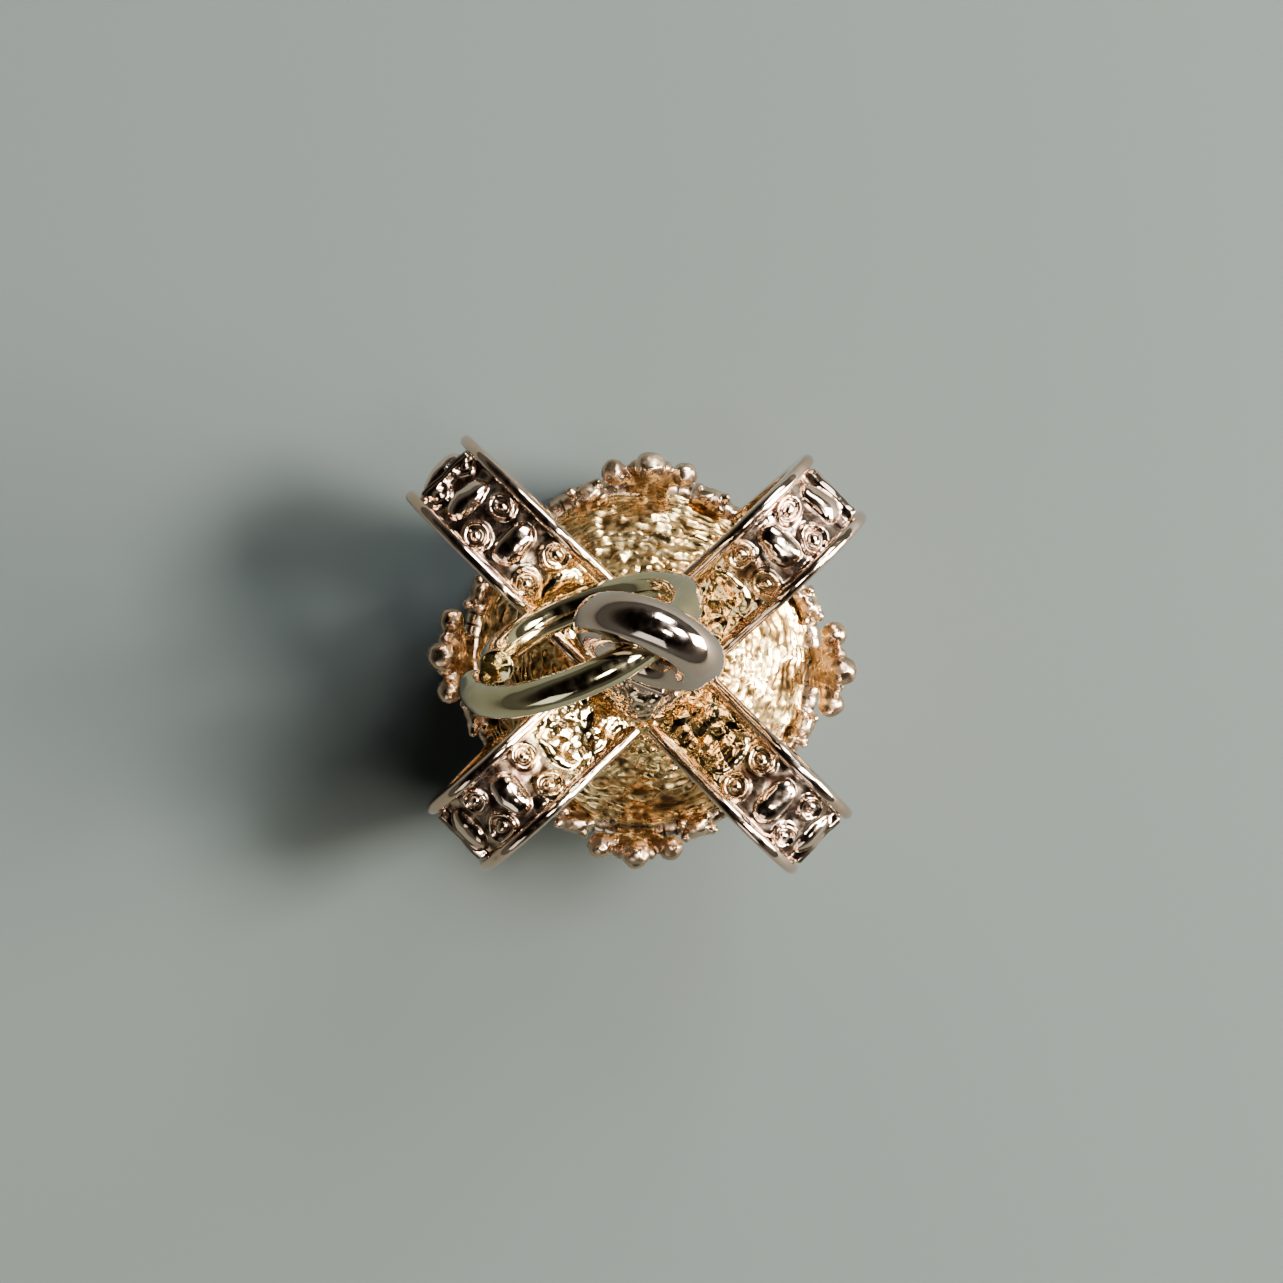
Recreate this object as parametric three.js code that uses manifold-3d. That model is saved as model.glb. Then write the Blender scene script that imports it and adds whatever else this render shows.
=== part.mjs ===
// Royal crown charm in gold: a circlet with fleurs-de-lis, four channelled arches over a domed cap,
// an orb and cross, a soldered bail ring, and an open jump ring that swings in the bail.
// Millimetres, +Z up, origin on the underside of the circlet, on the crown's axis.
import * as THREE from "three";
import { mergeVertices } from "three/addons/utils/BufferGeometryUtils.js";
import Module from "manifold-3d";

const wasm = await Module();
wasm.setup();

// The clearance that stands in for solder between one piece and the next.
const SOLDER_GAP = 0.03;

// Circlet: base roll, upright band and rim wire, one above another.
const BAND_INNER_RADIUS = 3.85;
const BAND_OUTER_RADIUS = 4.4;
const ROLL_OUTER_RADIUS = 4.7;
const ROLL_HEIGHT = 0.8;
const RIM_OUTER_RADIUS = 4.62;
const RIM_BOTTOM = 2.7;
const RIM_TOP = 3.2;
const ROUND_SEGMENTS = 48;
const MOULDING_STEPS = 5;
const MOULDING_SEAT = 0.1;

// Cap: a thin dome standing on the rim wire.
const CAP_RADIUS = 4.15;
const CAP_TOP = 6.2;
const CAP_WALL = 0.35;
const CAP_POWER = 2.3;
const CAP_STEPS = 7;

// Rim ornaments: a fleur-de-lis on each side, with a square setting on either hand of it.
const FLEUR_RADIUS = 4.42;
const FLEUR_THICKNESS = 0.42;
const FLEURS = [
  { side: "east", lean: 23 },
  { side: "north", lean: 20 },
  { side: "west", lean: 24.5 },
  { side: "south", lean: 14 },
];
const FLEUR_BALL_HEIGHT = 1.5;
const FLEUR_BALL_RADIUS = 0.38;
const FLEUR_LOBE_REACH = 0.89;
const FLEUR_LOBE_HEIGHT = 1.0;
const FLEUR_LOBE_RADIUS = 0.31;
// Half of a fleur's outline, foot to tip. An entry is a line's end, or a curve's control point and end.
const FLEUR_OUTLINE = [
  [[0.55, 0]],
  [[0.42, 0.34]],
  [[0.85, 0.42], [FLEUR_LOBE_REACH + 0.2, FLEUR_LOBE_HEIGHT - 0.12]],
  [[FLEUR_LOBE_REACH - 0.12, FLEUR_LOBE_HEIGHT + 0.14]],
  [[0.52, 0.78], [0.31, 0.76]],
  [[0.46, 1.1], [0.2, FLEUR_BALL_HEIGHT]],
  [[0, FLEUR_BALL_HEIGHT]],
];
const BALL_SEGMENTS = 10;
const BALL_RINGS = 7;
const SETTING_TURN = 20.5;
const SETTING_RADIUS = 4.45;
const SETTING_WIDTH = 0.92;
const SETTING_DEPTH = 0.54;
const SETTING_HEIGHT = 0.5;
const SETTING_BEVEL = 0.1;

// Arches: channels with two proud rails, bent along one curve. The set of each one is the goldsmith's.
const ARCH_WIDTH = 2.2;
const ARCH_FLOOR_THICKNESS = 0.4;
const RAIL_WIDTH = 0.3;
const RAIL_HEIGHT = 0.33;
const ARCH_STEPS = 24;
const ARCHES = [
  { side: "north_east", turn: 45.5, reach: 6.25 },
  { side: "north_west", turn: 138, reach: 6.85 },
  { side: "south_west", turn: 224.5, reach: 6.0 },
  { side: "south_east", turn: 317.5, reach: 5.9 },
];
const CROSS_HALF_WIDTH = 0.68;
const CROSS_THICKNESS = 0.42;
const CROSS_UP_ARCH = 0.95;
const CROSS_STANDOFF = 0.1;

// Crossing, orb and upper cross, all on the axis.
const CROSSING_RADIUS = 1.1;
const CROSSING_BOTTOM = 6.6;
const CROSSING_TOP = 7.25;
const CROSSING_CLEARANCE = 0.13;
const ORB_RADIUS = 1.1;
const ORB_FOOT_RADIUS = 0.6;
const ORB_CROWN_RADIUS = 0.32;
const ORB_STEPS = 8;
const UPPER_CROSS_HALF_WIDTH = 0.78;
const UPPER_CROSS_THICKNESS = 0.62;
const UPPER_CROSS_TOP = 11.4;
const PATTEE_WAIST = 0.24;
const PATTEE_FLARE = 0.62;

// The outer face of an arch's floor as radius and height. The bend stretches to each arch's reach.
const ARCH_FOOT_RADIUS = 4.58;
const ARCH_REACH = 6.1;
const ARCH_FOOT = [[ARCH_FOOT_RADIUS, RIM_TOP + SOLDER_GAP], [4.64, 3.5]];
const ARCH_BEND = [
  [4.98, 4.25], [5.6, 5.1], [6.02, 5.95],
  [ARCH_REACH, 6.65], [5.88, 7.35], [5.25, 8.0],
];
const ARCH_CROWN = [[4.5, 8.27], [3.7, 8.25], [2.7, 7.8], [CROSSING_RADIUS + CROSSING_CLEARANCE, 7.15]];

// Bail ring: soldered upright on the upper cross, leaning back a little.
const BAIL_RADIUS = 1.23;
const BAIL_WIRE_RADIUS = 0.58;
const BAIL_TURN = THREE.MathUtils.degToRad(-20);
const BAIL_LEAN = THREE.MathUtils.degToRad(20);
const BAIL_FOOT = new THREE.Vector3(-0.27, 0.36, UPPER_CROSS_TOP + SOLDER_GAP);
const BAIL_SIDES = 12;
const BAIL_STEPS = 32;

// Jump ring: an open ring of round wire through the bail, resting against the north-west arch.
const JUMP_RADIUS = 2.7;
const JUMP_WIRE_RADIUS = 0.39;
const JUMP_TURN = THREE.MathUtils.degToRad(25.7);
const JUMP_TILT = THREE.MathUtils.degToRad(14);
const JUMP_CENTRE = new THREE.Vector3(-1.598, 0.766, 11.118);
const JUMP_GAP_AT = THREE.MathUtils.degToRad(194);
const JUMP_GAP = 0.36;
const JUMP_END_OFFSET = 0.2;
const JUMP_BEND = 0.55;
const JUMP_BEND_SHARE = 0.16;
const JUMP_SIDES = 10;
const JUMP_STEPS = 52;

const rosePolish = new THREE.MeshStandardMaterial({ color: 0xc68f63, roughness: 0.18, metalness: 1 });
const capGold = new THREE.MeshStandardMaterial({ color: 0xc9a050, roughness: 0.38, metalness: 1 });
const bandGold = new THREE.MeshStandardMaterial({ color: 0xbb8a4e, roughness: 0.3, metalness: 1 });
const ringGold = new THREE.MeshStandardMaterial({ color: 0xd2bb7a, roughness: 0.12, metalness: 1 });

function toSolid(geometry) {
  const bare = geometry.clone();
  bare.deleteAttribute("normal");
  bare.deleteAttribute("uv");
  const merged = mergeVertices(bare);
  const vertProperties = Float32Array.from(merged.attributes.position.array);
  const triVerts = Uint32Array.from(merged.index.array);
  return new wasm.Manifold(new wasm.Mesh({ numProp: 3, vertProperties, triVerts }));
}

function toGeometry(solid) {
  const mesh = solid.getMesh();
  const geometry = new THREE.BufferGeometry();
  geometry.setAttribute("position", new THREE.BufferAttribute(mesh.vertProperties, 3));
  geometry.setIndex(new THREE.BufferAttribute(mesh.triVerts, 1));
  geometry.computeVertexNormals();
  return geometry;
}

// A ring or dome turned about +Z from points of radius and height that run with the metal on their left.
function turned(points) {
  const profile = points.map(([radius, height]) => new THREE.Vector2(radius, height));
  return new THREE.LatheGeometry(profile, ROUND_SEGMENTS).rotateX(Math.PI / 2);
}

function arcPoints(centreX, centreY, radiusX, radiusY, from, to, steps) {
  return Array.from({ length: steps + 1 }, (_, i) => {
    const angle = THREE.MathUtils.degToRad(from + ((to - from) * i) / steps);
    return [centreX + radiusX * Math.cos(angle), centreY + radiusY * Math.sin(angle)];
  });
}

// A moulding with a flat bottom and top and a half-round outer face.
function halfRoundRing(bottom, top, outerRadius) {
  const half = (top - bottom) / 2;
  const bulge = Math.min(half, outerRadius - BAND_OUTER_RADIUS + MOULDING_SEAT);
  const start = [BAND_INNER_RADIUS, bottom];
  const face = arcPoints(outerRadius - bulge, bottom + half, bulge, half, -90, 90, MOULDING_STEPS);
  return turned([start, ...face, [BAND_INNER_RADIUS, top], start]);
}

function bandGeometry() {
  const bottom = ROLL_HEIGHT + SOLDER_GAP;
  const top = RIM_BOTTOM - SOLDER_GAP;
  const start = [BAND_INNER_RADIUS, bottom];
  const outer = [[BAND_OUTER_RADIUS, bottom], [BAND_OUTER_RADIUS, top]];
  return turned([start, ...outer, [BAND_INNER_RADIUS, top], start]);
}

// Half of the dome's profile, from its foot to the axis.
function domePoints(radius, bottom, top) {
  return Array.from({ length: CAP_STEPS + 1 }, (_, i) => {
    const r = radius * Math.cos(((i / CAP_STEPS) * Math.PI) / 2);
    const across = i === CAP_STEPS ? 0 : r;
    return [across, bottom + (top - bottom) * (1 - (across / radius) ** CAP_POWER)];
  });
}

function capGeometry() {
  const bottom = RIM_TOP + SOLDER_GAP;
  const outer = domePoints(CAP_RADIUS, bottom, CAP_TOP);
  const inner = domePoints(CAP_RADIUS - CAP_WALL, bottom, CAP_TOP - CAP_WALL).reverse();
  return turned([...inner, ...outer]);
}

function ballAt(radius, x, y) {
  return toSolid(new THREE.SphereGeometry(radius, BALL_SEGMENTS, BALL_RINGS).translate(x, y, 0));
}

// A fleur-de-lis standing on the origin, its width along Y and its face towards +X.
function fleurGeometry() {
  const outline = new THREE.Shape();
  for (const points of FLEUR_OUTLINE) {
    if (points.length === 1) {
      outline.lineTo(...points[0]);
    } else {
      outline.quadraticCurveTo(...points[0], ...points[1]);
    }
  }
  const settings = { depth: FLEUR_THICKNESS, curveSegments: 3, bevelEnabled: false };
  const plate = new THREE.ExtrudeGeometry(outline, settings).translate(0, 0, -FLEUR_THICKNESS / 2);
  const half = toSolid(plate).add(ballAt(FLEUR_LOBE_RADIUS, FLEUR_LOBE_REACH, FLEUR_LOBE_HEIGHT));
  const whole = half.add(half.mirror([1, 0, 0])).add(ballAt(FLEUR_BALL_RADIUS, 0, FLEUR_BALL_HEIGHT));
  return toGeometry(whole).rotateX(Math.PI / 2).rotateZ(Math.PI / 2);
}

// A square setting: a block with a bevelled table, its width along Y.
function settingGeometry() {
  const half = SETTING_WIDTH / 2 - SETTING_BEVEL;
  const depth = SETTING_DEPTH / 2 - SETTING_BEVEL;
  const outline = new THREE.Shape();
  outline.moveTo(-half, -depth);
  outline.lineTo(half, -depth);
  outline.lineTo(half, depth);
  outline.lineTo(-half, depth);
  return new THREE.ExtrudeGeometry(outline, {
    depth: SETTING_HEIGHT - 2 * SETTING_BEVEL,
    bevelThickness: SETTING_BEVEL,
    bevelSize: SETTING_BEVEL,
    bevelSegments: 1,
  }).translate(0, 0, SETTING_BEVEL).rotateZ(Math.PI / 2);
}

// A cross pattee: four flared arms from a narrow waist, centred on the origin in the XY plane.
function crossGeometry(halfWidth, halfHeight, thickness) {
  const waist = halfWidth * PATTEE_WAIST;
  const flare = halfWidth * PATTEE_FLARE;
  const points = [
    [halfWidth, -flare], [halfWidth, flare], [waist, waist],
    [flare, halfHeight], [-flare, halfHeight], [-waist, waist],
    [-halfWidth, flare], [-halfWidth, -flare], [-waist, -waist],
    [-flare, -halfHeight], [flare, -halfHeight], [waist, -waist],
  ];
  const outline = new THREE.Shape(points.map(([x, y]) => new THREE.Vector2(x, y)));
  const settings = { depth: thickness, bevelEnabled: false };
  return new THREE.ExtrudeGeometry(outline, settings).translate(0, 0, -thickness / 2);
}

function archPath(reach) {
  const grow = (reach - ARCH_FOOT_RADIUS) / (ARCH_REACH - ARCH_FOOT_RADIUS);
  const bend = ARCH_BEND.map(([r, z]) => [ARCH_FOOT_RADIUS + (r - ARCH_FOOT_RADIUS) * grow, z]);
  const points = [...ARCH_FOOT, ...bend, ...ARCH_CROWN].map(([r, z]) => new THREE.Vector3(r, 0, z));
  return new THREE.CatmullRomCurve3(points, false, "centripetal");
}

function archGeometry(reach) {
  const half = ARCH_WIDTH / 2;
  const inner = half - RAIL_WIDTH;
  const section = new THREE.Shape([
    [-half, -ARCH_FLOOR_THICKNESS],
    [half, -ARCH_FLOOR_THICKNESS],
    [half, RAIL_HEIGHT],
    [inner, RAIL_HEIGHT],
    [inner, 0],
    [-inner, 0],
    [-inner, RAIL_HEIGHT],
    [-half, RAIL_HEIGHT],
  ].map(([x, y]) => new THREE.Vector2(x, y)));
  return new THREE.ExtrudeGeometry(section, { steps: ARCH_STEPS, extrudePath: archPath(reach) });
}

// A cross pattee lying on the arch's floor just above its foot, between the rails.
function footCross(name, reach) {
  const path = archPath(reach);
  const along = CROSS_UP_ARCH / path.getLength();
  const tangent = path.getTangentAt(along);
  const outward = new THREE.Vector3(tangent.z, 0, -tangent.x);
  const geometry = crossGeometry(CROSS_HALF_WIDTH, CROSS_HALF_WIDTH, CROSS_THICKNESS);
  const cross = part(name, geometry, bandGold);
  cross.setRotationFromMatrix(new THREE.Matrix4().makeBasis(new THREE.Vector3(0, 1, 0), tangent, outward));
  const lift = CROSS_STANDOFF + CROSS_THICKNESS / 2;
  cross.position.copy(path.getPointAt(along)).addScaledVector(outward, lift);
  return cross;
}

function orbGeometry() {
  const foot = CROSSING_TOP + SOLDER_GAP;
  const centre = foot + Math.sqrt(ORB_RADIUS ** 2 - ORB_FOOT_RADIUS ** 2);
  const from = -THREE.MathUtils.radToDeg(Math.acos(ORB_FOOT_RADIUS / ORB_RADIUS));
  const to = THREE.MathUtils.radToDeg(Math.acos(ORB_CROWN_RADIUS / ORB_RADIUS));
  const side = arcPoints(0, centre, ORB_RADIUS, ORB_RADIUS, from, to, ORB_STEPS);
  return { geometry: turned([[0, foot], ...side, [0, side.at(-1)[1]]]), top: side.at(-1)[1] };
}

// The wire's centreline: a turn of the ring less the gap. The lower end is bent in towards the ring's middle.
class OpenRing extends THREE.Curve {
  getPoint(t, target = new THREE.Vector3()) {
    const gapAngle = JUMP_GAP / JUMP_RADIUS;
    const angle = JUMP_GAP_AT + gapAngle / 2 + t * (2 * Math.PI - gapAngle);
    const bent = Math.max(0, 1 - t / JUMP_BEND_SHARE) ** 2;
    const radius = JUMP_RADIUS - JUMP_BEND * bent;
    return target.set(radius * Math.cos(angle), radius * Math.sin(angle), JUMP_END_OFFSET * (t - 0.5));
  }
}

function jumpRingGeometry() {
  const section = new THREE.Shape();
  section.absarc(0, 0, JUMP_WIRE_RADIUS, 0, 2 * Math.PI);
  return new THREE.ExtrudeGeometry(section, {
    steps: JUMP_STEPS,
    curveSegments: JUMP_SIDES / 2,
    extrudePath: new OpenRing(),
  });
}

function part(name, geometry, material) {
  const mesh = new THREE.Mesh(geometry, material);
  mesh.name = name;
  return mesh;
}

const crown = new THREE.Group();
crown.add(part("base_roll", halfRoundRing(0, ROLL_HEIGHT, ROLL_OUTER_RADIUS), bandGold));
crown.add(part("circlet_band", bandGeometry(), bandGold));
crown.add(part("rim_wire", halfRoundRing(RIM_BOTTOM, RIM_TOP, RIM_OUTER_RADIUS), bandGold));
crown.add(part("cap", capGeometry(), capGold));

// Rim ornaments, by compass side.
FLEURS.forEach(({ side, lean: degrees }, i) => {
  const leanAngle = THREE.MathUtils.degToRad(degrees);
  const quarter = new THREE.Group();
  quarter.rotation.z = (i * Math.PI) / 2;
  const fleur = part(`fleur_${side}`, fleurGeometry(), bandGold);
  const lean = new THREE.Group();
  lean.position.set(FLEUR_RADIUS, 0, RIM_TOP + SOLDER_GAP + (FLEUR_THICKNESS / 2) * Math.sin(leanAngle));
  lean.rotation.y = leanAngle;
  lean.add(fleur);
  quarter.add(lean);
  for (const hand of [1, -1]) {
    const setting = part(`setting_${side}_${hand > 0 ? "left" : "right"}`, settingGeometry(), bandGold);
    const place = new THREE.Group();
    place.rotation.z = THREE.MathUtils.degToRad(hand * SETTING_TURN);
    setting.position.set(SETTING_RADIUS, 0, RIM_TOP + SOLDER_GAP);
    place.add(setting);
    quarter.add(place);
  }
  crown.add(quarter);
});

// Arches, each with a cross in its foot.
for (const { side, turn, reach } of ARCHES) {
  const place = new THREE.Group();
  place.rotation.z = THREE.MathUtils.degToRad(turn);
  place.add(part(`arch_${side}`, archGeometry(reach), rosePolish));
  place.add(footCross(`cross_${side}`, reach));
  crown.add(place);
}

const bossProfile = [
  [0, CROSSING_BOTTOM],
  [CROSSING_RADIUS, CROSSING_BOTTOM],
  [CROSSING_RADIUS, CROSSING_TOP],
  [0, CROSSING_TOP],
];
crown.add(part("crossing_boss", turned(bossProfile), rosePolish));
const orb = orbGeometry();
crown.add(part("orb", orb.geometry, rosePolish));

const upperCrossHeight = (UPPER_CROSS_TOP - orb.top - SOLDER_GAP) / 2;
const upperCross = part(
  "upper_cross",
  crossGeometry(UPPER_CROSS_HALF_WIDTH, upperCrossHeight, UPPER_CROSS_THICKNESS),
  rosePolish,
);
upperCross.rotation.set(Math.PI / 2, 0, BAIL_TURN, "ZXY");
upperCross.position.z = UPPER_CROSS_TOP - upperCrossHeight;
crown.add(upperCross);

// Turns a ring that lies in the XY plane to stand upright along a direction, leaning to its left.
function standRing(ring, turn, lean) {
  const across = new THREE.Vector3(Math.cos(turn), Math.sin(turn), 0);
  const left = new THREE.Vector3(-Math.sin(turn), Math.cos(turn), 0);
  const up = new THREE.Vector3(0, 0, Math.cos(lean)).addScaledVector(left, Math.sin(lean));
  ring.setRotationFromMatrix(new THREE.Matrix4().makeBasis(across, up, across.clone().cross(up)));
  return up;
}

const bailGeometry = new THREE.TorusGeometry(BAIL_RADIUS, BAIL_WIRE_RADIUS, BAIL_SIDES, BAIL_STEPS);
const bail = part("bail_ring", bailGeometry, rosePolish);
const bailUp = standRing(bail, BAIL_TURN, BAIL_LEAN);
bail.position.copy(BAIL_FOOT).addScaledVector(bailUp, BAIL_RADIUS + BAIL_WIRE_RADIUS);
crown.add(bail);

const jumpRing = part("jump_ring", jumpRingGeometry(), ringGold);
standRing(jumpRing, JUMP_TURN, -JUMP_TILT);
jumpRing.position.copy(JUMP_CENTRE);
crown.add(jumpRing);

export default crown;
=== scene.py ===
import math

import bpy
import bmesh
import numpy as np
from mathutils import Matrix, Vector


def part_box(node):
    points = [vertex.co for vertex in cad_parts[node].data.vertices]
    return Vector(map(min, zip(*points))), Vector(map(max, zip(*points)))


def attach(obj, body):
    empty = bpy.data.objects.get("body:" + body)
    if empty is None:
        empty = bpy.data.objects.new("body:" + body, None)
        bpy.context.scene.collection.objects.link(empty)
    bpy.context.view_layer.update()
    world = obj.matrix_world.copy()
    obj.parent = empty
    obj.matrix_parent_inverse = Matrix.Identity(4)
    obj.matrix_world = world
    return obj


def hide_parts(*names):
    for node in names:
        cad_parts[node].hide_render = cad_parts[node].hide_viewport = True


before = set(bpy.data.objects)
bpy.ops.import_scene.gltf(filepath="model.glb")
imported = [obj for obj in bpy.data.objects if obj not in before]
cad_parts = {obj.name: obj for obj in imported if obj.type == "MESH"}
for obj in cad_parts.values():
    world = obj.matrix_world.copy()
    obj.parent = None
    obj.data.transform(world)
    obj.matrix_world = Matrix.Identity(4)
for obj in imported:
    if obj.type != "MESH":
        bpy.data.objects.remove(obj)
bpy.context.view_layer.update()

# Everything below is worked out in millimetres, in the frame's axes, and written to meshes in metres.
MM = 0.001


def node_box(name):
    low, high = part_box(name)
    return np.array(low) / MM, np.array(high) / MM


# ---------------------------------------------------------------- sizes, from the frame where it holds them
BAND_OUTER_RADIUS = node_box("circlet_band")[1][0]
BAND_BOTTOM, BAND_TOP = node_box("circlet_band")[0][2], node_box("circlet_band")[1][2]
BAND_THICKNESS = 0.55
BAND_INNER_RADIUS = BAND_OUTER_RADIUS - BAND_THICKNESS
MOULDING_SEAT = 0.1
ROLL_OUTER_RADIUS, ROLL_HEIGHT = node_box("base_roll")[1][0], node_box("base_roll")[1][2]
RIM_OUTER_RADIUS = node_box("rim_wire")[1][0]
RIM_BOTTOM, RIM_TOP = node_box("rim_wire")[0][2], node_box("rim_wire")[1][2]
CAP_RADIUS, CAP_BOTTOM, CAP_TOP = node_box("cap")[1][0], node_box("cap")[0][2], node_box("cap")[1][2]
CAP_WALL = 0.35
CAP_POWER = 2.3
CROSSING_TOP = node_box("crossing_boss")[1][2]
CROSSING_RADIUS = node_box("crossing_boss")[1][0]
CROSSING_CLEARANCE = 0.13
ORB_RADIUS = node_box("orb")[1][0]
ORB_CROWN_RADIUS = 0.32
ORB_CENTRE = node_box("orb")[1][2] - math.sqrt(ORB_RADIUS**2 - ORB_CROWN_RADIUS**2)
ARCH_WIDTH = 2.2
ARCH_FLOOR_THICKNESS = 0.4
RAIL_WIDTH = 0.3
RAIL_HEIGHT = 0.33
ARCH_FOOT_RADIUS = 4.58
ARCH_REACH = 6.1
# The floor's outer face from foot to crossing, as radius and height. The bend stretches with an arch's reach.
ARCH_FOOT = [(ARCH_FOOT_RADIUS, CAP_BOTTOM), (ARCH_FOOT_RADIUS + 0.06, 3.5)]
ARCH_BEND = [(4.98, 4.25), (5.6, 5.1), (6.02, 5.95), (ARCH_REACH, 6.65), (5.88, 7.35), (5.25, 8.0)]
ARCH_CROWN = [(4.5, 8.27), (3.7, 8.25), (2.7, 7.8), (CROSSING_RADIUS + CROSSING_CLEARANCE, 7.15)]
CROSS_UP_ARCH, CROSS_LIFT, CROSS_HALF_WIDTH = 0.95, 0.31, 0.68
# The turn of each arch about the axis, in degrees, and its reach.
ARCHES = {
    "north_east": (45.5, 6.25),
    "north_west": (138, 6.85),
    "south_west": (224.5, 6.0),
    "south_east": (317.5, 5.9),
}
FLEUR_RADIUS = 4.42
FLEUR_THICKNESS = 0.42
FLEUR_LEANS = {"east": 23, "north": 20, "west": 24.5, "south": 14}
SETTING_TURN = 20.5
SETTING_RADIUS = 4.45
BAIL_RADIUS, BAIL_WIRE_RADIUS = 1.23, 0.58
BAIL_TURN, BAIL_LEAN = math.radians(-20), math.radians(20)
BAIL_FOOT = np.array([-0.27, 0.36, 11.43])
JUMP_RADIUS, JUMP_WIRE_RADIUS = 2.7, 0.39
JUMP_TURN, JUMP_TILT = math.radians(25.7), math.radians(14)
JUMP_CENTRE = np.array([-1.598, 0.766, 11.118])
JUMP_GAP_AT, JUMP_GAP = math.radians(194), 0.36
JUMP_END_OFFSET, JUMP_BEND, JUMP_BEND_SHARE = 0.2, 0.55, 0.16


# ---------------------------------------------------------------- fixed noise, the same in each run
GRAIN_SPREAD = 0.85


def lattice(cell, seed):
    """A fixed number from 0 to 1 for each whole-numbered point."""
    n = cell.astype(np.int64).astype(np.uint64)
    h = (
        n[..., 0] * np.uint64(73856093)
        ^ n[..., 1] * np.uint64(19349663)
        ^ n[..., 2] * np.uint64(83492791)
        ^ np.uint64(seed * 2654435761 % 2**32)
    ) & np.uint64(0xFFFFFFFF)
    h = ((h ^ (h >> np.uint64(13))) * np.uint64(1274126177)) & np.uint64(0xFFFFFFFF)
    h = ((h ^ (h >> np.uint64(15))) * np.uint64(2246822519)) & np.uint64(0xFFFFFFFF)
    h = h ^ (h >> np.uint64(16))
    return (h & np.uint64(0xFFFF)).astype(float) / 65535


def waves(points, size, seed):
    """Smooth noise from -1 to 1 with bumps of about that size in millimetres."""
    p = points / size
    base = np.floor(p)
    f = p - base
    f = f * f * (3 - 2 * f)
    total = np.zeros(p.shape[:-1])
    for corner in np.ndindex(2, 2, 2):
        c = np.array(corner)
        weight = np.prod(np.where(c, f, 1 - f), axis=-1)
        total += weight * lattice(base + c, seed)
    return 2 * total - 1


def layered(points, seed, *layers):
    """Waves of several sizes added up. A layer is its height, its size and what its seed adds to seed."""
    return sum(height * waves(points, size, seed + step) for height, size, step in layers)


def grains(points, size, seed):
    """Rounded grains of about that size in millimetres: 1 on a grain's top, 0 in the furrows."""
    p = points / size
    base = np.floor(p)
    nearest = np.full(p.shape[:-1], np.inf)
    for corner in np.ndindex(3, 3, 3):
        cell = base + np.array(corner) - 1
        spot = np.stack([lattice(cell, seed + k) for k in range(3)], axis=-1)
        nearest = np.minimum(nearest, np.linalg.norm(cell + spot - p, axis=-1))
    return 1 - np.clip(nearest / GRAIN_SPREAD, 0, 1) ** 2


def ramp(x, low, high):
    """0 below low, 1 above high, with a smooth rise between."""
    t = np.clip((x - low) / (high - low), 0, 1)
    return t * t * (3 - 2 * t)


# ---------------------------------------------------------------- mesh making
def as_object(name, points, faces, relief, warmth=None):
    """A smooth-shaded piece from points in millimetres.

    relief is 0 in the recesses and 1 on what wears, and warmth is 1 where the gold is yellower.
    """
    mesh = bpy.data.meshes.new(name)
    mesh.from_pydata((np.asarray(points) * MM).tolist(), [], faces)
    for word, values in (("relief", relief), ("warmth", warmth)):
        if values is not None:
            layer = mesh.attributes.new(word, "FLOAT", "POINT")
            layer.data.foreach_set("value", np.asarray(values, dtype=np.float32).ravel())
    mesh.polygons.foreach_set("use_smooth", [True] * len(mesh.polygons))
    mesh.update()
    piece = bpy.data.objects.new(name, mesh)
    bpy.context.collection.objects.link(piece)
    return piece


def loop_faces(rows, cols, skipped):
    """Quads from each loop of points to the next, the last to the first, but none after the skipped ones."""
    i, j = np.meshgrid(np.arange(rows), np.arange(cols), indexing="ij")
    after, beside = (i + 1) % rows, (j + 1) % cols
    quads = np.stack([i * cols + j, i * cols + beside, after * cols + beside, after * cols + j], axis=-1)
    return np.delete(quads, skipped, axis=0).reshape(-1, 4).tolist()


def skin(name, loops, relief, close_round=False, warmth=None):
    """A closed solid through equal loops of points, its ends capped, or joined if the loops come round."""
    rows, cols = loops.shape[:2]
    faces = loop_faces(rows, cols, [] if close_round else [rows - 1])
    if not close_round:
        faces.append(list(range(cols))[::-1])
        faces.append([(rows - 1) * cols + k for k in range(cols)])
    return as_object(name, loops.reshape(-1, 3), faces, relief, warmth)


def outward(piece):
    """Turns every face of a closed piece outward."""
    work = bmesh.new()
    work.from_mesh(piece.data)
    bmesh.ops.recalc_face_normals(work, faces=work.faces)
    work.to_mesh(piece.data)
    work.free()
    return piece


def finish_piece(piece, node, body, material):
    outward(piece)
    piece.data.materials.append(material)
    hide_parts(node)
    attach(piece, body)


CURVE_STEPS = 60


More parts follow.
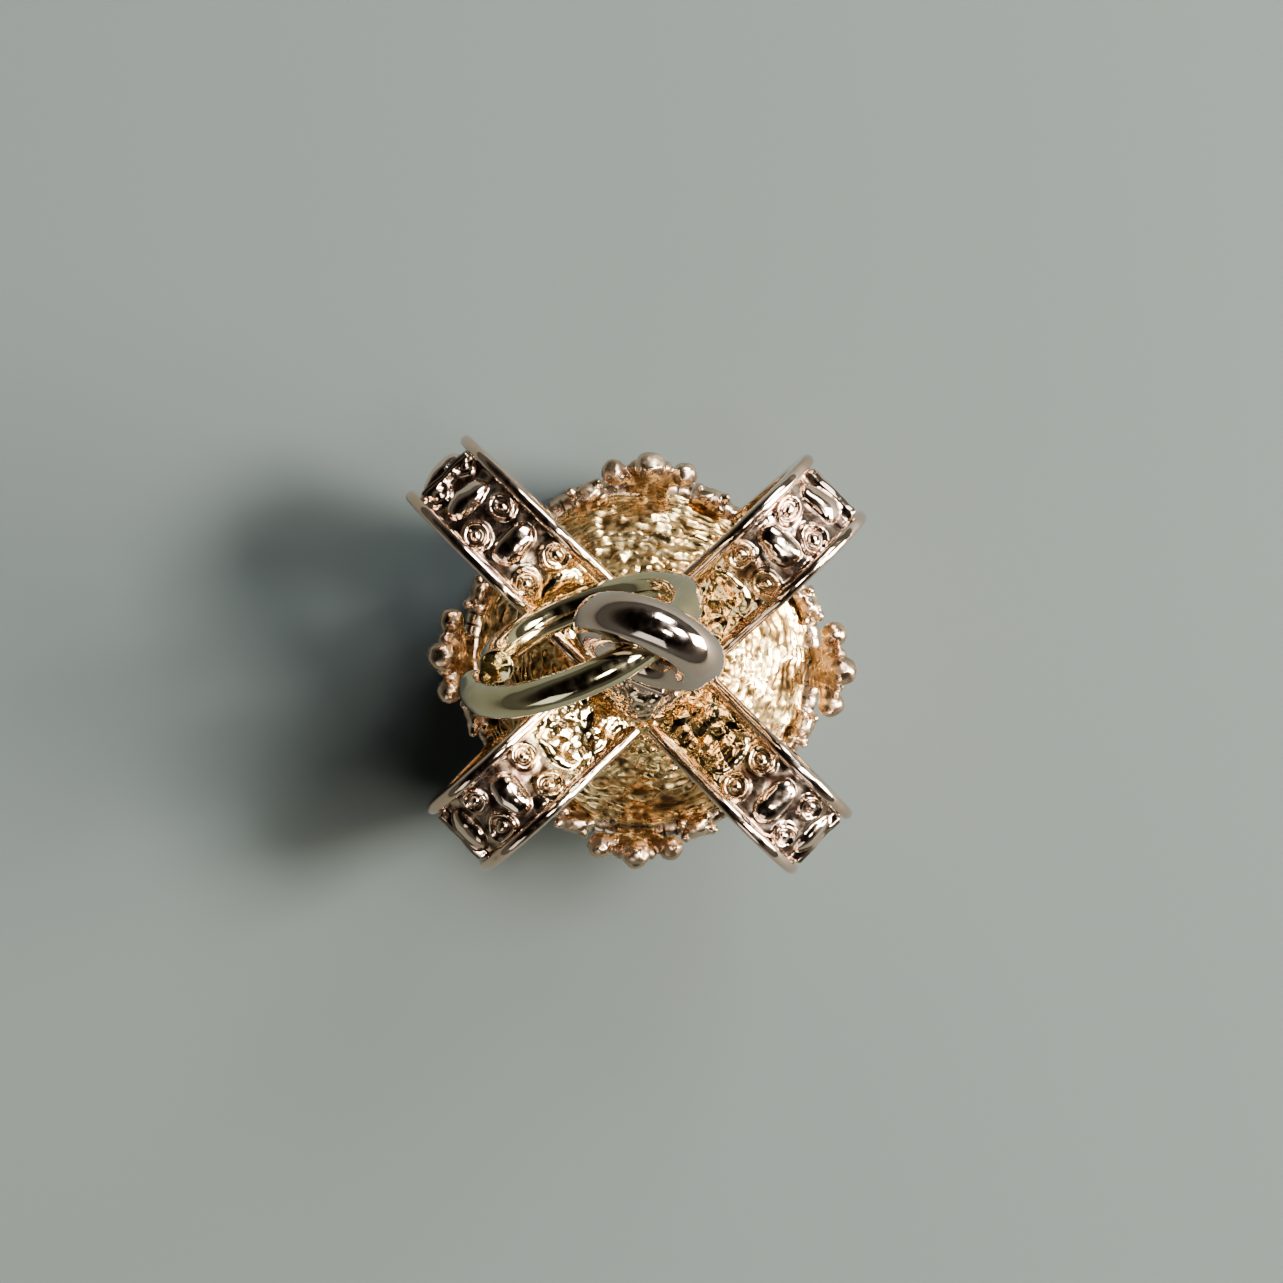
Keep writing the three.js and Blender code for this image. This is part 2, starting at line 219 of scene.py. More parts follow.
def smooth_curve(points, count):
    """Evenly spaced points and unit tangents on the centripetal Catmull-Rom curve through points."""
    p = np.array(points, float)
    p = np.vstack([2 * p[0] - p[1], p, 2 * p[-1] - p[-2]])
    fine = []
    for a, b, c, d in zip(p, p[1:], p[2:], p[3:]):
        knots = np.cumsum([0] + [math.sqrt(np.linalg.norm(y - x)) for x, y in ((a, b), (b, c), (c, d))])
        t = np.linspace(knots[1], knots[2], CURVE_STEPS, endpoint=False)[:, None]
        ab = (knots[1] - t) / (knots[1] - knots[0]) * a + (t - knots[0]) / (knots[1] - knots[0]) * b
        bc = (knots[2] - t) / (knots[2] - knots[1]) * b + (t - knots[1]) / (knots[2] - knots[1]) * c
        cd = (knots[3] - t) / (knots[3] - knots[2]) * c + (t - knots[2]) / (knots[3] - knots[2]) * d
        abc = (knots[2] - t) / (knots[2] - knots[0]) * ab + (t - knots[0]) / (knots[2] - knots[0]) * bc
        bcd = (knots[3] - t) / (knots[3] - knots[1]) * bc + (t - knots[1]) / (knots[3] - knots[1]) * cd
        share = (t - knots[1]) / (knots[2] - knots[1])
        fine.append((1 - share) * abc + share * bcd)
    fine = np.vstack([*fine, p[-2][None]])
    along = np.concatenate([[0], np.cumsum(np.linalg.norm(np.diff(fine, axis=0), axis=1))])
    even = np.linspace(0, along[-1], count)
    places = np.stack([np.interp(even, along, fine[:, k]) for k in range(fine.shape[1])], axis=1)
    tangents = np.gradient(places, axis=0)
    return places, tangents / np.linalg.norm(tangents, axis=1, keepdims=True), even


def turn_about_z(points, degrees):
    c, s = math.cos(math.radians(degrees)), math.sin(math.radians(degrees))
    return points @ np.array([[c, s, 0], [-s, c, 0], [0, 0, 1]])


# ---------------------------------------------------------------- materials
YELLOW_GOLD = (0.70, 0.52, 0.24)


def gold(name, bright, deep, patina, roughness, scratch, patina_from=0.12, patina_to=0.5):
    """Polished alloy: colour that drifts, brown patina in the recesses, fine scratches and casting pits.

    The patina is whole below the relief patina_from and gone above patina_to.
    """
    material = bpy.data.materials.new(name)
    material.use_nodes = True
    tree = material.node_tree
    new, link = tree.nodes.new, tree.links.new
    shader = tree.nodes["Principled BSDF"]
    shader.inputs["Metallic"].default_value = 1.0
    where = new("ShaderNodeTexCoord")

    def noise(scale, detail, stretch=(1, 1, 1)):
        place = new("ShaderNodeMapping")
        place.inputs["Scale"].default_value = stretch
        link(where.outputs["Object"], place.inputs["Vector"])
        node = new("ShaderNodeTexNoise")
        node.inputs["Scale"].default_value = scale
        node.inputs["Detail"].default_value = detail
        link(place.outputs["Vector"], node.inputs["Vector"])
        return node.outputs["Fac"]

    def spread(value, low, high, to_low, to_high):
        node = new("ShaderNodeMapRange")
        node.interpolation_type = "SMOOTHSTEP"
        for socket, number in zip(("From Min", "From Max", "To Min", "To Max"), (low, high, to_low, to_high)):
            node.inputs[socket].default_value = number
        link(value, node.inputs["Value"])
        return node.outputs["Result"]

    def mixed(factor, first, second):
        node = new("ShaderNodeMix")
        node.data_type = "RGBA"
        link(factor, node.inputs["Factor"])
        for socket, value in (("A", first), ("B", second)):
            target = next(s for s in node.inputs if s.name == socket and s.type == "RGBA")
            if isinstance(value, tuple):
                target.default_value = (*value, 1)
            else:
                link(value, target)
        return next(s for s in node.outputs if s.type == "RGBA")

    def sum_of(first, second, operation="ADD"):
        node = new("ShaderNodeMath")
        node.operation = operation
        node.use_clamp = True
        link(first, node.inputs[0])
        link(second, node.inputs[1])
        return node.outputs["Value"]

    drift = spread(noise(700, 3), 0.35, 0.65, 0, 1)
    warmth = new("ShaderNodeAttribute")
    warmth.attribute_name = "warmth"
    body = mixed(warmth.outputs["Fac"], mixed(drift, bright, deep), YELLOW_GOLD)
    relief = new("ShaderNodeAttribute")
    relief.attribute_name = "relief"
    recess = spread(relief.outputs["Fac"], patina_from, patina_to, 1, 0)
    blotch = spread(noise(2600, 4), 0.35, 0.62, 0.15, 1)
    stain = sum_of(recess, blotch, "MULTIPLY")
    link(mixed(stain, body, patina), shader.inputs["Base Color"])
    worn = spread(noise(4200, 5), 0.3, 0.75, roughness[0], roughness[1])
    dull = spread(stain, 0, 1, 0, 0.2)
    link(sum_of(worn, dull), shader.inputs["Roughness"])
    pits = new("ShaderNodeBump")
    pits.inputs["Distance"].default_value = 4e-6
    pits.inputs["Strength"].default_value = scratch
    link(noise(9000, 6), pits.inputs["Height"])
    lines = new("ShaderNodeBump")
    lines.inputs["Distance"].default_value = 2e-6
    lines.inputs["Strength"].default_value = scratch * 0.8
    link(noise(2500, 3, (1, 14, 3)), lines.inputs["Height"])
    link(pits.outputs["Normal"], lines.inputs["Normal"])
    link(lines.outputs["Normal"], shader.inputs["Normal"])
    return material


ARCH_GOLD = gold(
    "arch_gold",
    bright=(0.72, 0.54, 0.43),
    deep=(0.58, 0.41, 0.29),
    patina=(0.035, 0.018, 0.012),
    roughness=(0.06, 0.18),
    scratch=0.35,
)
CAP_GOLD = gold(
    "cap_gold",
    bright=(0.94, 0.68, 0.31),
    deep=(0.74, 0.46, 0.16),
    patina=(0.06, 0.032, 0.01),
    roughness=(0.14, 0.34),
    scratch=0.5,
    patina_from=0.2,
    patina_to=0.95,
)
BAND_GOLD = gold(
    "band_gold",
    bright=(0.60, 0.44, 0.30),
    deep=(0.44, 0.30, 0.19),
    patina=(0.035, 0.02, 0.012),
    roughness=(0.16, 0.36),
    scratch=0.45,
    patina_from=0.3,
    patina_to=0.95,
)
BAIL_GOLD = gold(
    "bail_gold",
    bright=(0.62, 0.48, 0.40),
    deep=(0.54, 0.39, 0.29),
    patina=(0.2, 0.1, 0.05),
    roughness=(0.06, 0.15),
    scratch=0.2,
)
RING_GOLD = gold(
    "ring_gold",
    bright=(0.62, 0.54, 0.33),
    deep=(0.52, 0.42, 0.23),
    patina=(0.10, 0.05, 0.025),
    roughness=(0.06, 0.17),
    scratch=0.25,
)


# ---------------------------------------------------------------- arches
def arch_waypoints(reach):
    """Radius and height along the floor's outer face, with the bend stretched to the reach."""
    grow = (reach - ARCH_FOOT_RADIUS) / (ARCH_REACH - ARCH_FOOT_RADIUS)
    bend = [(ARCH_FOOT_RADIUS + (radius - ARCH_FOOT_RADIUS) * grow, height) for radius, height in ARCH_BEND]
    return [*ARCH_FOOT, *bend, *ARCH_CROWN]


PAIR_PITCH, PAIR_ACROSS = 1.66, 0.45
PAIR_JITTER = 0.1
RINGLET_RADIUS, RINGLET_WIDTH, RINGLET_HEIGHT = 0.3, 0.06, 0.13
PEARL_RADIUS, PEARL_HEIGHT = 0.165, 0.16
CUSHION_ACROSS, CUSHION_ALONG, CUSHION_HEIGHT, CUSHION_POWER = 0.6, 0.36, 0.24, 2.4
LIP_HEIGHT, LIP_HALF_WIDTH = 0.3, 0.1
GROOVE_DEPTH, GROOVE_HALF_WIDTH = 0.12, 0.035
GRAINS_FROM, GRAINS_WHOLE = 2.7, 1.3
ARCH_GRAIN_SIZE, ARCH_GRAIN_HEIGHT = 0.36, 0.065
WARM_FROM, WARM_WHOLE = 3.6, 1.6
CREST_RADIUS, LIP_LEVEL = 3.6, 7.2
FOOT_FADE = 0.7


def squircle(x, y, power):
    return np.abs(x) ** power + np.abs(y) ** power


def ornament_height(s, v, crest, lip_at, total, points, seed):
    """Height of the channel's floor, at s along the arch and v across it.

    It has pearl ringlets in pairs, cushions between them, a grooved bar at the bend and grains at the top.
    """
    height = np.zeros_like(s)
    s_bent = s + layered(points, seed, (0.06, 0.5, 6), (0.03, 0.22, 8))
    v_bent = v + layered(points, seed, (0.07, 0.45, 7))
    pairs = crest + PAIR_PITCH * np.arange(-4, 2)
    for k, centre in enumerate(pairs):
        for hand in (-1, 1):
            jitter = PAIR_JITTER * lattice(np.array([[k, hand + 5, seed]]), 3)[0]
            size = 1 + 1.6 * (jitter - PAIR_JITTER / 2)
            across = v_bent - hand * (PAIR_ACROSS + jitter / 3)
            d = np.hypot(s_bent - centre - jitter, across) / size
            ring = RINGLET_HEIGHT * np.exp(-(((d - RINGLET_RADIUS) / RINGLET_WIDTH) ** 2))
            pearl = PEARL_HEIGHT * np.sqrt(np.clip(1 - (d / PEARL_RADIUS) ** 2, 0, 1))
            height = np.maximum(height, np.maximum(ring, pearl))
        middle = centre + PAIR_PITCH / 2
        edge = squircle(v_bent / CUSHION_ACROSS, (s_bent - middle) / CUSHION_ALONG, CUSHION_POWER)
        height = np.maximum(height, CUSHION_HEIGHT * np.sqrt(np.clip(1 - edge, 0, 1)))
    lip = LIP_HEIGHT * np.exp(-(((s - lip_at) / LIP_HALF_WIDTH) ** 4))
    groove = GROOVE_DEPTH * np.exp(-(((s - lip_at) / GROOVE_HALF_WIDTH) ** 4))
    height = np.maximum(height, lip - groove)
    near = ramp(s, total - GRAINS_FROM, total - GRAINS_WHOLE)
    grainy = near * ARCH_GRAIN_HEIGHT * grains(points, ARCH_GRAIN_SIZE, seed)
    height = height * (1 - 0.9 * near) + grainy
    return height + 0.06 * waves(points, 0.55, seed) + (0.014 + 0.008 * near) * waves(points, 0.2, seed + 1)


ARCH_ROWS, FLOOR_STEPS, RAIL_STEPS, WALL_STEPS, SIDE_STEPS, UNDER_STEPS = 380, 64, 10, 4, 6, 14
RAIL_FLATNESS = 0.8
EDGE_SOFTENING = 0.08


def channel_section():
    """The channel's outline, as distance across and height, and which of its points are the floor's face."""
    half, inner = ARCH_WIDTH / 2, ARCH_WIDTH / 2 - RAIL_WIDTH
    bend = RAIL_WIDTH / 2
    top = RAIL_HEIGHT - bend
    turn = np.linspace(math.pi, 0, RAIL_STEPS)
    rail = [(-half + bend + bend * math.cos(a), top + bend * RAIL_FLATNESS * math.sin(a)) for a in turn]
    side = [(-half, h) for h in np.linspace(-ARCH_FLOOR_THICKNESS + 0.06, top, SIDE_STEPS)[:-1]]
    wall = [(-inner, h) for h in np.linspace(top, 0.03, WALL_STEPS)[1:]]
    left = [(-half + 0.05, -ARCH_FLOOR_THICKNESS), *side, *rail, *wall]
    floor = [(v, 0.0) for v in np.linspace(-inner, inner, FLOOR_STEPS)[1:-1]]
    right = [(-v, h) for v, h in left[::-1]]
    under = [(v, -ARCH_FLOOR_THICKNESS) for v in np.linspace(half, -half, UNDER_STEPS)[1:-1]]
    section = np.array([*left, *floor, *right, *under])
    is_floor = np.zeros(len(section), bool)
    is_floor[len(left) : len(left) + len(floor)] = True
    return section, is_floor


def make_arch(side, turn, reach, seed):
    path, tangent, along = smooth_curve(arch_waypoints(reach), ARCH_ROWS)
    normal = np.stack([tangent[:, 1], -tangent[:, 0]], axis=1)
    section, is_floor = channel_section()
    total = along[-1]
    s = np.repeat(along[:, None], len(section), axis=1)
    v = np.repeat(section[None, :, 0], ARCH_ROWS, axis=0)
    h = np.repeat(section[None, :, 1], ARCH_ROWS, axis=0)

    def place(height):
        flat = path[:, None, :] + normal[:, None, :] * height[..., None]
        return turn_about_z(np.stack([flat[..., 0], v, flat[..., 1]], axis=-1), turn)

    inward, outer = along >= total / 2, along <= total * 0.7
    crest = along[inward][np.argmin(np.abs(path[inward, 0] - CREST_RADIUS))]
    lip_at = along[outer][np.argmin(np.abs(path[outer, 1] - LIP_LEVEL))]
    plain = place(h)
    raised = ornament_height(s, v, crest, lip_at, total, plain, seed)
    edge = np.clip((ARCH_WIDTH / 2 - RAIL_WIDTH - np.abs(v)) / EDGE_SOFTENING, 0, 1)
    height = np.where(is_floor, raised * (0.4 + 0.6 * edge), h)
    height = height + np.where(is_floor, 0, layered(plain, seed, (0.03, 0.9, 2), (0.012, 0.25, 3)))
    grown = ramp(s, 0, FOOT_FADE)
    height = np.where(h > 0, height * (0.12 + 0.88 * grown), height)
    loops = place(height)
    loops[..., 2] += layered(plain, seed, (0.01, 0.5, 4))
    worn = ramp(raised, -0.03, 0.17) + 0.5 * ramp(s, total - GRAINS_FROM, total - GRAINS_WHOLE)
    relief = np.where(is_floor, np.minimum(worn, 1), 0.9)
    warmth = np.where(is_floor, 0.95, 0.25) * ramp(s, total - WARM_FROM, total - WARM_WHOLE)
    piece = skin(f"arch_{side}_channel", loops, relief, warmth=warmth)
    finish_piece(piece, f"arch_{side}", "crown", ARCH_GOLD)


for number, (side, (turn, reach)) in enumerate(ARCHES.items()):
    make_arch(side, turn, reach, 11 + 7 * number)


# ---------------------------------------------------------------- cap
CAP_RINGS, CAP_SPOKES, CAP_INNER_RINGS = 170, 520, 12
CAP_ARC = 1.25 * CAP_RADIUS
CAP_LINE_PITCH, CAP_LINE_HEIGHT = 0.28, 0.15
CAP_GRAIN_SIZE = 0.22
CAP_RELIEF_SINK, CAP_EDGE_FADE = 0.04, 0.12


def make_cap():
    """The dome, cut outside with wavering lines round the axis that break up into grains near the top."""
    t = np.linspace(0.004, 1, CAP_RINGS)[::-1]
    radius = CAP_RADIUS * np.sin(t * math.pi / 2)
    inner_radius = (CAP_RADIUS - CAP_WALL) * np.sin(np.linspace(0.02, 1, CAP_INNER_RINGS) * math.pi / 2)
    theta = np.linspace(0, 2 * math.pi, CAP_SPOKES, endpoint=False)

    def all_round(values):
        return np.repeat(values[:, None], CAP_SPOKES, axis=1)

    def dome(r, foot, top):
        z = CAP_BOTTOM + (top - CAP_BOTTOM) * (1 - (r / foot) ** CAP_POWER)
        return np.stack([all_round(r) * np.cos(theta), all_round(r) * np.sin(theta), all_round(z)], axis=-1)

    outer = dome(radius, CAP_RADIUS, CAP_TOP)
    arc = all_round(t * CAP_ARC)
    bend = layered(outer, 31, (0.22, 1.2, 0), (0.12, 0.5, 1), (0.03, 0.16, 6))
    line = (0.5 + 0.5 * np.sin(2 * math.pi * (arc + bend) / CAP_LINE_PITCH)) ** 1.5
    broken = ramp(waves(outer, 0.33, 33), -0.4, 0.3)
    coarse = ramp(1 - all_round(radius / CAP_RADIUS), 0.2, 0.6)
    bark = CAP_LINE_HEIGHT * line * (0.25 + 0.75 * broken) * (1 - 0.7 * coarse)
    bark = bark + (0.03 + 0.08 * coarse) * grains(outer, CAP_GRAIN_SIZE, 34)
    bark = bark + layered(outer, 35, (0.04, 0.7, 0), (0.016, 0.12, 1))
    away = outer - np.array([0, 0, CAP_BOTTOM])
    away /= np.linalg.norm(away, axis=-1, keepdims=True)
    fade = ramp(CAP_ARC - arc, 0, CAP_EDGE_FADE)
    outer = outer + away * ((bark - CAP_RELIEF_SINK) * fade)[..., None]
    under = dome(inner_radius, CAP_RADIUS - CAP_WALL, CAP_TOP - CAP_WALL)
    loops = np.concatenate([outer, under], axis=0)
    relief = np.concatenate([ramp(bark, 0.01, 0.13), np.full(under.shape[:2], 0.3)], axis=0)
    rows, cols = loops.shape[:2]
    faces = loop_faces(rows, cols, [CAP_RINGS - 1])
    faces.append([(CAP_RINGS - 1) * cols + k for k in range(cols)])
    faces.append([CAP_RINGS * cols + k for k in range(cols)][::-1])
    piece = as_object("cap_dome", loops.reshape(-1, 3), faces, relief)
    finish_piece(piece, "cap", "crown", CAP_GOLD)


make_cap()


# ---------------------------------------------------------------- circlet
def ring_piece(name, node, profile, relief_of, spokes):
    """A solid turned about the axis from a closed profile of radius and height.

    relief_of says how far out each point moves, and how much it wears.
    """
    profile = np.array(profile)
    theta = np.linspace(0, 2 * math.pi, spokes, endpoint=False)
    angle, r = np.meshgrid(theta, profile[:, 0], indexing="ij")
    z = np.repeat(profile[None, :, 1], spokes, axis=0)

    def place(radius):
        return np.stack([radius * np.cos(angle), radius * np.sin(angle), z], axis=-1)

    out, relief = relief_of(angle, r, z, place(r))
    piece = skin(name, place(r + out), relief, close_round=True)
    finish_piece(piece, node, "crown", BAND_GOLD)


def half_round_profile(bottom, top, outer_radius, steps=22):
    middle, half = (bottom + top) / 2, (top - bottom) / 2
    bulge = min(half, outer_radius - BAND_OUTER_RADIUS + MOULDING_SEAT)
    face = [
        (outer_radius - bulge + bulge * math.cos(a), middle + half * math.sin(a))
        for a in np.linspace(-math.pi / 2, math.pi / 2, steps)
    ]
    back = [(BAND_INNER_RADIUS, z) for z in np.linspace(top, bottom, 6)]
    return [*face, *back]


def milgrain(pitch, depth, seed):
    """A row of beads round a moulding."""

    def relief_of(angle, r, z, points):
        on_face = ramp(r, BAND_INNER_RADIUS + 0.2, BAND_OUTER_RADIUS)
        count = round(2 * math.pi * BAND_OUTER_RADIUS / pitch)
        bead = np.sqrt(np.clip(np.abs(np.cos(angle * count / 2)), 0, 1))
        out = on_face * (depth * (bead - 1) + 0.012 * waves(points, 0.5, seed))
        return out, np.where(on_face > 0.3, ramp(bead, 0.35, 0.8), 0.5)

    return relief_of


BAND_STONES = 16
STONE_HEIGHT, LOZENGE_PEAK = 0.2, 0.42
OVAL_HALF_WIDTH, OVAL_HALF_HEIGHT = 0.42, 0.56
FRAME_HALF_WIDTH, FRAME_HALF_HEIGHT = 0.5, 0.66
FRAME_LINE, FRAME_HEIGHT = 0.09, 0.08
BAND_PEARL_RADIUS, BAND_PEARL_HEIGHT, BAND_PEARLS_AT = 0.13, 0.15, (-0.42, 0, 0.42)


def band_relief(angle, r, z, points):
    """Ovals and lozenges in turn round the band, each in an oval frame, with three pearls between two."""
    on_face = (r > BAND_OUTER_RADIUS - 0.02).astype(float)
    step = 2 * math.pi / BAND_STONES
    index = np.round(angle / step)
    x = (angle - index * step) * BAND_OUTER_RADIUS
    y = z - (BAND_BOTTOM + BAND_TOP) / 2
    oval = np.sqrt(np.clip(1 - (x / OVAL_HALF_WIDTH) ** 2 - (y / OVAL_HALF_HEIGHT) ** 2, 0, 1))
    lozenge = np.clip(1 - np.abs(x) / FRAME_HALF_WIDTH - np.abs(y) / FRAME_HALF_HEIGHT, 0, 1)
    cut = np.minimum(lozenge * LOZENGE_PEAK, STONE_HEIGHT)
    stone = np.where(index % 2 == 0, oval * STONE_HEIGHT, cut)
    from_line = np.hypot(x / FRAME_HALF_WIDTH, y / FRAME_HALF_HEIGHT) - 1
    oval_frame = FRAME_HEIGHT * np.exp(-((from_line / FRAME_LINE) ** 2))
    between = np.abs(x) - step * BAND_OUTER_RADIUS / 2
    pearls = sum(
        BAND_PEARL_HEIGHT * np.sqrt(np.clip(1 - (between**2 + (y - at) ** 2) / BAND_PEARL_RADIUS**2, 0, 1))
        for at in BAND_PEARLS_AT
    )
    out = np.maximum(np.maximum(stone, oval_frame), pearls)
    out = out + 0.01 * waves(points, 0.3, 61) + 0.02 * (grains(points, 0.16, 62) - 0.5) * (out < 0.02)
    return on_face * out, np.where(on_face > 0, ramp(out, 0.0, 0.08), 0.5)


band_face = [(BAND_OUTER_RADIUS, z) for z in np.linspace(BAND_BOTTOM, BAND_TOP, 64)]
band_back = [(BAND_INNER_RADIUS, z) for z in np.linspace(BAND_TOP, BAND_BOTTOM, 8)]
ring_piece("circlet_wall", "circlet_band", [*band_face, *band_back], band_relief, spokes=1080)
roll = half_round_profile(0, ROLL_HEIGHT, ROLL_OUTER_RADIUS)
ring_piece("base_moulding", "base_roll", roll, milgrain(pitch=0.62, depth=0.09, seed=71), spokes=960)
rim = half_round_profile(RIM_BOTTOM, RIM_TOP, RIM_OUTER_RADIUS)
ring_piece("rim_moulding", "rim_wire", rim, milgrain(pitch=0.3, depth=0.04, seed=72), spokes=1080)


# ---------------------------------------------------------------- small castings
def ball(centre, radii, tilt=0.0):
    """A ball or egg in millimetres, tilted in the YZ plane."""
    work = bmesh.new()
    place = Matrix.Translation(centre) @ Matrix.Rotation(tilt, 4, "X") @ Matrix.Diagonal((*radii, 1))
    bmesh.ops.create_uvsphere(work, u_segments=28, v_segments=18, radius=1, matrix=place)
    mesh = bpy.data.meshes.new("lump")
    work.to_mesh(mesh)
    work.free()
    return mesh


def plate(outline, thickness, lift=0.0):
    """A plate in the YZ plane from its outline, centred on X."""
    work = bmesh.new()
    sides = [[work.verts.new((x, y, z + lift)) for y, z in outline] for x in (-thickness / 2, thickness / 2)]
    work.faces.new(sides[0][::-1])
    work.faces.new(sides[1])
    for a in range(len(outline)):
        b = (a + 1) % len(outline)
        work.faces.new((sides[0][a], sides[0][b], sides[1][b], sides[1][a]))
    bmesh.ops.recalc_face_normals(work, faces=work.faces)
    mesh = bpy.data.meshes.new("lump")
    work.to_mesh(mesh)
    work.free()
    return mesh


def cast(lumps, voxel=0.035, rounds=4):
    """One soft-edged casting from overlapping lumps: its points in millimetres, normals and faces."""
    work = bmesh.new()
    for lump in lumps:
        work.from_mesh(lump)
        bpy.data.meshes.remove(lump)
    mesh = bpy.data.meshes.new("casting")
    work.to_mesh(mesh)
    work.free()
    temporary = bpy.data.objects.new("casting", mesh)
    bpy.context.collection.objects.link(temporary)
    melt = temporary.modifiers.new("melt", "REMESH")
    melt.mode = "VOXEL"
    melt.voxel_size = voxel
    soften = temporary.modifiers.new("soften", "SMOOTH")
    soften.factor, soften.iterations = 0.5, rounds
    done = temporary.evaluated_get(bpy.context.evaluated_depsgraph_get()).to_mesh()
    points = np.array([v.co[:] for v in done.vertices])
    normals = np.array([v.normal[:] for v in done.vertices])
    faces = [list(p.vertices) for p in done.polygons]
    temporary.to_mesh_clear()
    bpy.data.objects.remove(temporary)
    bpy.data.meshes.remove(mesh)
    return points, normals, faces


def pattee(half_width, half_height):
    """The outline of a cross whose arms flare toward their ends."""
    waist, flare = 0.24 * half_width, 0.62 * half_width
    quarter = [(half_width, -flare), (half_width, flare), (waist, waist), (flare, half_height)]
    return [
        *quarter, (-flare, half_height), (-waist, waist), (-half_width, flare), (-half_width, -flare),
        (-waist, -waist), (-flare, -half_height), (flare, -half_height), (waist, -waist),
    ]


def put(name, casting, basis, origin, node, material, seed, rough=0.012):
    """Places a casting by the directions of its X, Y and Z, after a little unevenness along its normals."""
    points, normals, faces = casting
    basis = np.array(basis)
    placed = points @ basis + np.array(origin)
    uneven = layered(placed, seed, (rough, 0.3, 0), (rough * 0.5, 0.12, 1))
    placed = placed + (normals @ basis) * uneven[:, None]
    piece = as_object(name, placed, faces, 0.55 + 0.45 * ramp(uneven, -rough, rough))
    finish_piece(piece, node, "crown", material)


# In each casting X points out from its foot, Y goes across it and Z up it.
FLEUR = cast([
    plate([(-0.53, 0), (0.53, 0), (0.5, 0.4), (-0.5, 0.4)], 0.4),
    ball((0, 0, 0.72), (0.24, 0.66, 0.42)),
    ball((0, 0, 1.0), (0.25, 0.42, 0.66)),
    ball((0, 0, 1.5), (0.38, 0.38, 0.38)),
    ball((0.06, 0, 0.45), (0.28, 0.58, 0.16)),
    *[ball((0, 0.55 * hand, 0.76), (0.24, 0.28, 0.5), -0.8 * hand) for hand in (-1, 1)],
    *[ball((0, 0.88 * hand, 0.98), (0.32, 0.33, 0.32)) for hand in (-1, 1)],
    *[ball((0.1, 0.36 * hand, 1.1), (0.2, 0.2, 0.22)) for hand in (-1, 1)],
])
SETTING = cast([
    plate([(-0.45, 0), (0.45, 0), (0.42, 0.36), (-0.42, 0.36)], 0.52),
    ball((0, 0, 0.3), (0.25, 0.4, 0.27)),
    *[ball((x, y, 0.36), (0.12, 0.12, 0.13)) for x in (-0.17, 0.17) for y in (-0.35, 0.35)],
], rounds=2)
FOOT_CROSS = cast([
    plate(pattee(CROSS_HALF_WIDTH, CROSS_HALF_WIDTH), 0.4),
    ball((0.2, 0, 0), (0.14, 0.17, 0.17)),
], rounds=3)

for quarter, side in enumerate(("east", "north", "west", "south")):
    turn = 90 * quarter
    c, s = math.cos(math.radians(FLEUR_LEANS[side])), math.sin(math.radians(FLEUR_LEANS[side]))
    lean = np.array([[c, 0, -s], [0, 1, 0], [s, 0, c]])
    foot = turn_about_z(np.array([FLEUR_RADIUS, 0, CAP_BOTTOM + FLEUR_THICKNESS / 2 * s]), turn)
    put(f"fleur_{side}_casting", FLEUR, turn_about_z(lean, turn), foot,
        f"fleur_{side}", BAND_GOLD, 81 + quarter, rough=0.03)
    for hand, word in ((1, "left"), (-1, "right")):
        turned = turn + hand * SETTING_TURN
        place = turn_about_z(np.array([SETTING_RADIUS, 0, CAP_BOTTOM]), turned)
        put(f"setting_{side}_{word}_block", SETTING, turn_about_z(np.eye(3), turned), place,
            f"setting_{side}_{word}", BAND_GOLD, 91 + 2 * quarter + hand, rough=0.05)

for number, (side, (turn, reach)) in enumerate(ARCHES.items()):
    path, tangent, along = smooth_curve(arch_waypoints(reach), 400)
    at = int(np.argmin(np.abs(along - CROSS_UP_ARCH)))
    t = tangent[at]
    basis = np.array([[t[1], 0, -t[0]], [0, 1, 0], [t[0], 0, t[1]]])
    origin = np.array([path[at][0], 0, path[at][1]]) + basis[0] * CROSS_LIFT
    put(f"cross_{side}_casting", FOOT_CROSS, turn_about_z(basis, turn), turn_about_z(origin, turn),
        f"cross_{side}", BAND_GOLD, 111 + number, rough=0.03)


# ---------------------------------------------------------------- crossing, orb and upper cross
def grainy_solid(name, node, casting, seed, grain, depth, warmth):
    points, normals, faces = casting
    lump = grains(points, grain, seed)
    moved = points + normals * (depth * (lump - 0.6) + 0.05 * waves(points, 0.6, seed + 5))[:, None]
    piece = as_object(name, moved, faces, 0.8 * ramp(lump, 0.1, 0.9), np.full(len(moved), warmth))
    finish_piece(piece, node, "crown", ARCH_GOLD)


BOSS = cast([
    ball((0, 0, CROSSING_TOP - 0.25), (1.28, 1.28, 0.5)),
    ball((0, 0, CROSSING_TOP - 0.05), (0.95, 0.95, 0.4)),
], voxel=0.04, rounds=2)
grainy_solid("crossing_mound", "crossing_boss", BOSS, seed=131, grain=0.26, depth=0.09, warmth=0.5)
ORB = cast([ball((0, 0, ORB_CENTRE), (ORB_RADIUS,) * 3)], voxel=0.035, rounds=2)
grainy_solid("orb_ball", "orb", ORB, seed=141, grain=0.24, depth=0.07, warmth=0.35)

